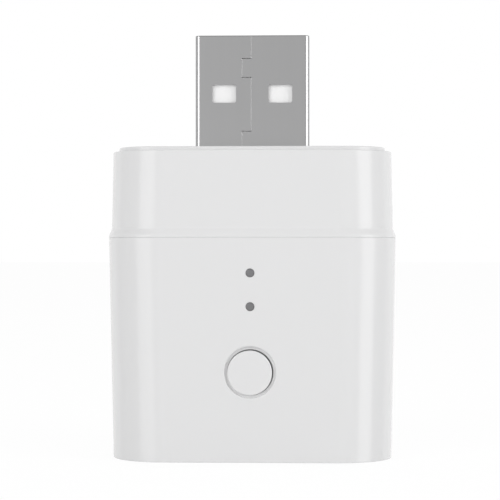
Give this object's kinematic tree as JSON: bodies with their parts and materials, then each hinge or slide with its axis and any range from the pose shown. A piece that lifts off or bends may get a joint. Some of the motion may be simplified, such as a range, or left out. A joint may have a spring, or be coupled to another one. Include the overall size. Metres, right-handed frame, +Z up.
{
  "type": "zigbee usb adapter",
  "caption": "Small white plug-in smart switch: USB-A plug on top, USB-A socket below, light dots and a round push button on the front.",
  "frame": {"origin": "middle of the body's bottom face", "axes": "+Z up towards the plug, -Y the front face with the button, X the width"},
  "size_m": [0.03, 0.017, 0.0442],
  "materials": {
    "shell_plastic": "white moulded plastic, fine satin",
    "button_plastic": "white moulded plastic, fine satin",
    "light_guide": "smoke-grey clear moulding, unlit",
    "board_laminate": "green solder mask on glass laminate",
    "switch_plastic": "black heat-proof moulding",
    "switch_steel": "stamped thin sheet",
    "plug_steel": "nickel-plated folded sheet",
    "socket_steel": "nickel-plated folded sheet",
    "insulator_plastic": "white heat-proof moulding",
    "contact_metal": "gold flash over copper alloy",
    "chip_moulding": "black moulding, tinned leads",
    "crystal_can": "ceramic base with a metal lid",
    "antenna_ceramic": "fired ceramic block",
    "capacitor_ceramic": "tan fired ceramic with tinned ends",
    "capacitor_can": "drawn aluminium can on a black base",
    "resistor_ceramic": "black glazed film on ceramic",
    "fuse_polymer": "laminated polymer with tinned ends",
    "inductor_ferrite": "dark grey ferrite",
    "light_lens": "clear epoxy lens, unlit"
  },
  "bodies": {
    "housing": {"lower_housing": "shell_plastic", "upper_housing": "shell_plastic", "light_guide": "light_guide", "main_board": "board_laminate", "switch_base": "switch_plastic", "switch_cover": "switch_steel", "switch_dome": "switch_steel", "plug_shell": "plug_steel", "socket_shell": "socket_steel", "plug_insulator": "insulator_plastic", "socket_insulator": "insulator_plastic", "plug_contact_1": "contact_metal", "plug_contact_2": "contact_metal", "plug_contact_3": "contact_metal", "plug_contact_4": "contact_metal", "socket_contact_1": "contact_metal", "socket_contact_2": "contact_metal", "socket_contact_3": "contact_metal", "socket_contact_4": "contact_metal", "radio_chip": "chip_moulding", "power_transistor": "chip_moulding", "voltage_regulator": "chip_moulding", "radio_crystal": "crystal_can", "chip_antenna": "antenna_ceramic", "input_capacitor": "capacitor_ceramic", "small_capacitors": "capacitor_ceramic", "output_capacitor": "capacitor_can", "small_resistors": "resistor_ceramic", "resettable_fuse": "fuse_polymer", "inductor": "inductor_ferrite", "upper_led": "light_lens", "lower_led": "light_lens"},
    "button": {"button_cap": "button_plastic", "switch_plunger": "switch_plastic"}
  },
  "joints": [
    {"name": "button_press", "type": "slide", "parent": "housing", "child": "button", "axis": [0, 1, 0], "range_m": [0, 0.00025], "stiffness_N_per_m": 4000, "springref_m": -0.00025, "deforming": ["switch_dome"]}
  ]
}
